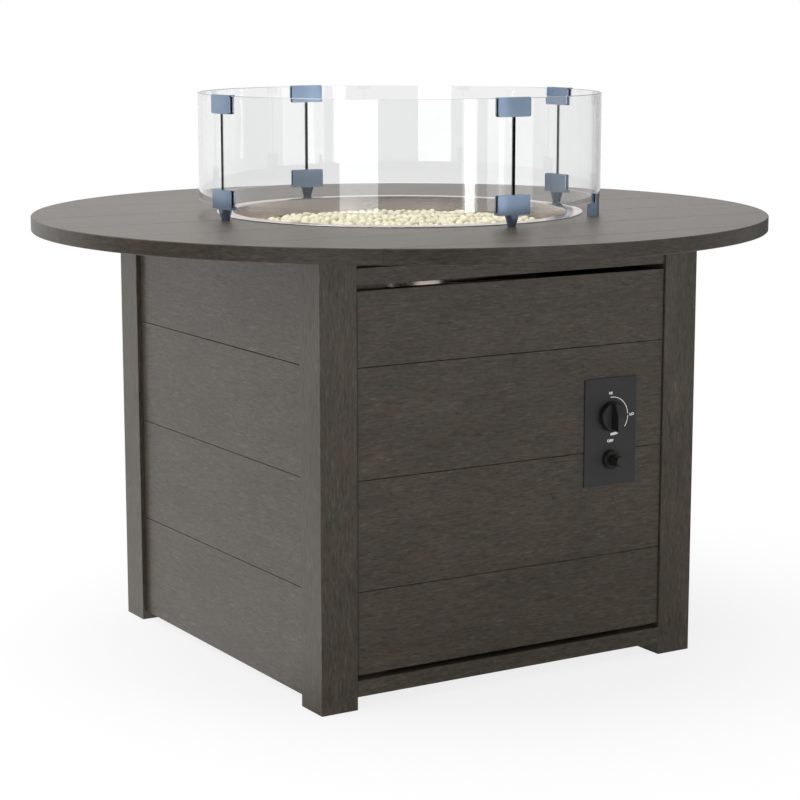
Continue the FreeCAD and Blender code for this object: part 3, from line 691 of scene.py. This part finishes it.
def make_words(finish):
    """The words round the knob."""
    for word, x, z in DIAL_WORDS:
        bpy.ops.object.select_all(action="DESELECT")
        bpy.ops.object.text_add(location=(x, z, 0))
        text = bpy.context.object
        text.name = "dial_" + word.lower()
        text.data.body = word
        text.data.size = LETTER_SIZE
        text.data.align_x = "CENTER"
        text.data.align_y = "CENTER"
        text.data.extrude = PRINT_DEPTH
        text.data.offset = LETTER_WEIGHT
        text.scale.x = LETTER_STRETCH
        print_on_plate(text, finish)


def make_arcs(finish):
    """The two lengths of arc round the knob, spun from one small upright face each."""
    inner = ARC_RADIUS - ARC_WIDTH / 2
    outer = ARC_RADIUS + ARC_WIDTH / 2
    corners = ((inner, -PRINT_DEPTH), (outer, -PRINT_DEPTH), (outer, PRINT_DEPTH), (inner, PRINT_DEPTH))
    for name, start, end in DIAL_ARCS:
        bpy.ops.object.select_all(action="DESELECT")
        bpy.ops.mesh.primitive_circle_add(vertices=4, radius=0.001, fill_type="NOTHING")
        arc = named(name)
        angle = math.radians(90 - start)
        for point, (radius, height) in zip(arc.data.vertices, corners):
            point.co = (ARC_X + radius * math.cos(angle), ARC_Z + radius * math.sin(angle), height)
        only(arc)
        bpy.ops.object.mode_set(mode="EDIT")
        bpy.ops.mesh.select_all(action="SELECT")
        bpy.ops.mesh.edge_face_add()
        bpy.ops.mesh.spin(steps=ARC_STEPS, dupli=False, angle=math.radians(end - start),
                          center=(ARC_X, ARC_Z, 0), axis=(0, 0, 1))
        bpy.ops.object.mode_set(mode="OBJECT")
        print_on_plate(arc, finish)


def make_arrow(finish):
    """The small arrow over the last word."""
    bpy.ops.object.select_all(action="DESELECT")
    bpy.ops.mesh.primitive_circle_add(vertices=len(DIAL_ARROW), radius=0.005, fill_type="NGON")
    arrow = named("dial_arrow")
    for point, (x, z) in zip(arrow.data.vertices, DIAL_ARROW):
        point.co = (x, z, 0)
    thickness = arrow.modifiers.new("thickness", "SOLIDIFY")
    thickness.thickness = PRINT_DEPTH * 2
    thickness.offset = 0
    finish_modifiers(arrow)
    print_on_plate(arrow, finish)


# Finishes for every piece

boards_along_x = board_finish("boards_along_x", 0)
boards_along_y = board_finish("boards_along_y", 1)
boards_upright = board_finish("boards_upright", 2)
top_boards = board_finish("top_boards", 0, gloss=0.40, rim=True)
# The pan's sheen is painted: its wall turns lighter where it is seen edge on.
stainless = brushed_finish(
    "satin_stainless", (0.40, 0.355, 0.315), 0.24, depth=0.0000015, contrast=0.015, wear=0.6,
    sheen=(0.64, 0.58, 0.525))
polished_rim = brushed_finish(
    "polished_rim", (0.60, 0.535, 0.49), 0.20, depth=0.0000004, contrast=0.01, wear=0.4)
hinge_brown = speckled_finish("hinge_brown", (0.040, 0.035, 0.028), (0.060, 0.052, 0.042), 0.45)
plain_steel = brushed_finish("plain_steel", (0.52, 0.52, 0.51), 0.32, round_brush=False)
brass = brushed_finish("turned_brass", (0.70, 0.53, 0.26), 0.30, round_brush=False)
black_straps = speckled_finish("black_straps", (0.012, 0.012, 0.012), (0.028, 0.028, 0.028), 0.5)
charcoal = speckled_finish("charcoal_powder_coat", (0.034, 0.034, 0.0345), (0.042, 0.042, 0.0425), 0.55)
black_plastic = speckled_finish("black_plastic", (0.010, 0.010, 0.009), (0.020, 0.019, 0.018), 0.38)
# Painted sheen: a lighter grey for the front faces of the knob and the igniter button, in place of the
# sheen they catch from the front.
painted_sheen_face = speckled_finish("painted_sheen_face", (0.030, 0.030, 0.029), (0.038, 0.038, 0.037), 0.50)
button_plastic = speckled_finish(
    "button_plastic", (0.010, 0.009, 0.008), (0.018, 0.016, 0.014), 0.25, coat=0.4)
rubber = speckled_finish(
    "black_rubber", (0.0025, 0.0025, 0.0025), (0.005, 0.005, 0.005), 0.7, shine=0.05)
ceramic = speckled_finish("white_ceramic", (0.70, 0.68, 0.63), (0.82, 0.80, 0.76), 0.25, coat=0.5)
clip_metal = clip_finish("clip_metal")
clear_glass = glass_finish("clear_glass")
ground_edge = ground_edge_finish("ground_glass_edge")
clear_edge = clear_edge_finish("clear_glass_edge")
pebble_stone = pebble_finish("pebble_stone")
# Painted shade: the dark brown bed that shows in the gaps between the pebbles.
pebble_painted_shade = speckled_finish("pebble_painted_shade", (0.20, 0.17, 0.12), (0.30, 0.26, 0.19), 0.7)
white_print = print_finish("white_print")

BY_SLOT = {
    "stainless": stainless, "steel": plain_steel, "black_steel": black_straps,
    "brown_steel": hinge_brown, "charcoal": charcoal,
    "black_plastic": black_plastic, "button_plastic": button_plastic, "brass": brass,
    "ceramic": ceramic, "pebbles": pebble_stone, "rubber": rubber, "glass": clear_glass,
    "clip_metal": clip_metal}
UPRIGHT = ("post_", "hinge_stile", "latch_stile", "panel_battens", "door_batten")
ALONG_Y = ("left_panel", "right_panel", "floor_cleats", "outer_cleats", "top_cleats")


def finish_for(node, slot):
    """The finish of a solid. The grain of a board runs along its length."""
    if slot != "boards":
        return BY_SLOT[slot]
    if node.startswith("top_board"):
        return top_boards
    if node.startswith(UPRIGHT):
        return boards_upright
    if node.startswith(ALONG_Y):
        return boards_along_y
    return boards_along_x


slots = {entry["node"]: entry["material_slot"] for entry in frame["record"]["subparts"]}
for node, slot in slots.items():
    dress(nodes[node], finish_for(node, slot))

ROUNDED = ("top_clips", "bottom_clips", "middle_foot", "control_knob", "igniter_button",
           "igniter_housing", "gas_valve", "valve_stem", "ring_burner", "burner_inlet", "hinge_pin",
           "hinge_frame_leaf", "hinge_door_leaf", "batten_screws")
SHEEN_PAINTED_FRONTS = ("control_knob", "igniter_button")
for node in ROUNDED:
    copy = smooth_copy(node)
    dress(copy, finish_for(node, slots[node]))
    # The faces that look straight out get the lighter grey: painted sheen.
    if node in SHEEN_PAINTED_FRONTS:
        copy.data.materials.append(painted_sheen_face)
        for face in copy.data.polygons:
            face.material_index = 1 if face.normal.y < -0.9 else 0
    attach(copy, nodes[node]["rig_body"])
    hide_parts(node)

make_glass(clear_glass, ground_edge, clear_edge, rubber)
make_seals(rubber)
make_pan(stainless, polished_rim)
make_pebbles(pebble_stone, pebble_painted_shade)
make_words(white_print)
make_arcs(white_print)
make_arrow(white_print)


# Floor, backdrop, lamps and camera

# Bearings run round the table from its front towards its right
BRIGHT_SIDE = math.radians(178)
RIGHT_SIDE = math.radians(78)
RIGHT_LEVEL = 0.45
DIM_FRONT = 0.07
SOFT_LIGHT = 0.55
THROUGH_GLASS = 0.89
FLOOR_SIZE = 60
FLOOR_TONE = 0.92
WINDOW_DISTANCE = 5.0

# Name, bearing in degrees, width, brightness, and the heights of its lower and upper edge
WINDOWS = (
    ("wide_window", -53.3, 1.85, 3.0, 0.28, 1.15),
    ("narrow_window", 6.8, 0.50, 9.0, 0.28, 1.15),
    ("window_glow", 6.8, 0.76, 1.8, 0.28, 1.15),
    ("dim_window", 22.0, 0.90, 1.40, 0.10, 0.85),
    ("wide_card", 35.0, 2.0, 1.25, 0.10, 0.85))


def turned_towards(tree, unit, bearing):
    """How far a level direction is turned towards a bearing: 1 when it points there."""
    side = tree.nodes.new("ShaderNodeVectorMath")
    side.operation = "DOT_PRODUCT"
    side.inputs[1].default_value = (math.sin(bearing), -math.cos(bearing), 0)
    tree.links.new(unit, side.inputs[0])
    return side.outputs["Value"]


def room_light(tree, direction):
    """How bright the room looks in a reflection: white behind the table, grey at the right, else dim."""
    level = tree.nodes.new("ShaderNodeVectorMath")
    level.operation = "MULTIPLY"
    level.inputs[1].default_value = (1, 1, 0)
    tree.links.new(direction, level.inputs[0])
    unit = tree.nodes.new("ShaderNodeVectorMath")
    unit.operation = "NORMALIZE"
    tree.links.new(level.outputs["Vector"], unit.inputs[0])
    back = turned_towards(tree, unit.outputs["Vector"], BRIGHT_SIDE)
    right = turned_towards(tree, unit.outputs["Vector"], RIGHT_SIDE)
    return calculate(tree, "MAXIMUM", spread(tree, back, DIM_FRONT, 1.0, 0.5, 0.80),
                     spread(tree, right, 0.0, RIGHT_LEVEL, 0.83, 0.90))


def rays_that_see(tree, direction, beside_table=0.0):
    """Rays from the camera or through glass, mirrored rays, and how bright the white is to them."""
    rays = tree.nodes.new("ShaderNodeLightPath")
    through = rays.outputs["Is Transmission Ray"]
    straight = calculate(tree, "MAXIMUM", rays.outputs["Is Camera Ray"], through)
    unbent = calculate(tree, "SUBTRACT", 1.0, through)
    mirrored = calculate(tree, "MULTIPLY", rays.outputs["Is Glossy Ray"], unbent)
    lost = calculate(tree, "MULTIPLY", through, 1.0 - THROUGH_GLASS)
    white = calculate(tree, "SUBTRACT", 1.0, lost)
    light = calculate(tree, "MAXIMUM", room_light(tree, direction), beside_table)
    dimness = calculate(tree, "SUBTRACT", 1.0, light)
    missing = calculate(tree, "MULTIPLY", mirrored, dimness)
    return straight, mirrored, calculate(tree, "SUBTRACT", white, missing)


def beside_the_table(tree, place, distance):
    """Where the floor lies near the table and not in front of it: 1 there, falling to 0."""
    y = split_place(tree, place)[1]
    return calculate(tree, "MULTIPLY", spread(tree, y, 0.0, 1.0, -0.45, -0.10),
                     spread(tree, distance, 1.0, 0.0, 1.3, 2.2))


def make_floor():
    """A pale floor that keeps the table's shadow close by and fades to white further off."""
    bpy.ops.object.select_all(action="DESELECT")
    bpy.ops.mesh.primitive_plane_add(size=FLOOR_SIZE)
    floor = named("floor")
    finish = bpy.data.materials.new("pale_floor")
    finish.use_nodes = True
    tree = finish.node_tree
    tree.nodes.remove(tree.nodes["Principled BSDF"])
    surface = tree.nodes["Material Output"].inputs["Surface"]
    matt = tree.nodes.new("ShaderNodeBsdfDiffuse")
    matt.inputs["Color"].default_value = (FLOOR_TONE, FLOOR_TONE, FLOOR_TONE, 1)
    white = tree.nodes.new("ShaderNodeEmission")
    white.inputs["Color"].default_value = (1, 1, 1, 1)
    place = tree.nodes.new("ShaderNodeTexCoord").outputs["Object"]
    length = tree.nodes.new("ShaderNodeVectorMath")
    length.operation = "LENGTH"
    tree.links.new(place, length.inputs[0])
    distance = length.outputs["Value"]
    fade = spread(tree, distance, 0.82, 1.0, 0.5, 1.4)
    straight, mirrored, strength = rays_that_see(tree, place, beside_the_table(tree, place, distance))
    tree.links.new(strength, white.inputs["Strength"])
    mixer = tree.nodes.new("ShaderNodeMixShader")
    seen = calculate(tree, "MAXIMUM", calculate(tree, "MULTIPLY", fade, straight), mirrored)
    tree.links.new(seen, mixer.inputs["Fac"])
    tree.links.new(matt.outputs["BSDF"], mixer.inputs[1])
    tree.links.new(white.outputs["Emission"], mixer.inputs[2])
    tree.links.new(mixer.outputs["Shader"], surface)
    dress(floor, finish)


def make_world():
    """A white backdrop behind the table, with a dimmer room in front of it."""
    world = bpy.data.worlds.new("white_surround")
    bpy.context.scene.world = world
    world.use_nodes = True
    tree = world.node_tree
    sky = tree.nodes["Background"]
    sky.inputs["Color"].default_value = (1, 1, 1, 1)
    place = tree.nodes.new("ShaderNodeTexCoord")
    straight, mirrored, strength = rays_that_see(tree, place.outputs["Generated"])
    rays = tree.nodes.new("ShaderNodeLightPath")
    soft = calculate(tree, "MULTIPLY", rays.outputs["Is Diffuse Ray"], SOFT_LIGHT)
    seen = calculate(tree, "MULTIPLY", calculate(tree, "MAXIMUM", straight, mirrored), strength)
    tree.links.new(calculate(tree, "MAXIMUM", seen, soft), sky.inputs["Strength"])


def add_lamp(name, place, aim, width, height, power):
    """A flat lamp at a place, turned to face another, that the camera doesn't see."""
    lamp = bpy.data.lights.new(name, "AREA")
    lamp.shape = "RECTANGLE"
    lamp.size = width
    lamp.size_y = height
    lamp.energy = power
    holder = bpy.data.objects.new(name, lamp)
    bpy.context.scene.collection.objects.link(holder)
    holder.location = place
    holder.rotation_euler = (Vector(aim) - Vector(place)).to_track_quat("-Z", "Y").to_euler()
    holder.visible_camera = False
    return holder


def add_window(name, bearing, width, radiance, low, high):
    """A soft window that stands on a bearing and faces the middle of the table."""
    angle = math.radians(bearing)
    middle = (low + high) / 2
    place = (math.sin(angle) * WINDOW_DISTANCE, -math.cos(angle) * WINDOW_DISTANCE, middle)
    power = radiance * math.pi * width * (high - low)
    add_lamp(name, place, (0, 0, middle), width, high - low, power)


def make_camera():
    """The camera, turned by its yaw and dipped."""
    camera = bpy.data.cameras.new("camera")
    holder = bpy.data.objects.new("camera", camera)
    bpy.context.scene.collection.objects.link(holder)
    forward = Vector((
        -math.sin(CAMERA_YAW) * math.cos(CAMERA_DIP),
        math.cos(CAMERA_YAW) * math.cos(CAMERA_DIP), -math.sin(CAMERA_DIP)))
    right = Vector((math.cos(CAMERA_YAW), math.sin(CAMERA_YAW), 0))
    up = right.cross(forward)
    turn = Matrix((right, up, -forward)).transposed()
    holder.matrix_world = Matrix.Translation(CAMERA_PLACE) @ turn.to_4x4()
    camera.lens = CAMERA_LENS
    camera.sensor_width = 36.0
    camera.clip_end = 100.0
    bpy.context.scene.camera = holder


make_floor()
make_world()
left_lamp = add_lamp("left_lamp", (-4.2, 0.6, 2.2), (0, 0, 0.5), 3.0, 2.6, 62)
left_lamp.visible_glossy = False
left_lamp.visible_transmission = False
overhead_lamp = add_lamp("overhead_lamp", (-0.6, 0.4, 4.2), (0, 0, 0.7), 3.0, 3.0, 128)
overhead_lamp.visible_glossy = False
for window in WINDOWS:
    add_window(*window)
add_lamp("gap_lamp", (-0.163, -0.318, 0.621), (-0.163, -0.200, 0.621), 0.14, 0.026, 0.016)
make_camera()
bpy.context.scene.view_settings.view_transform = "Standard"
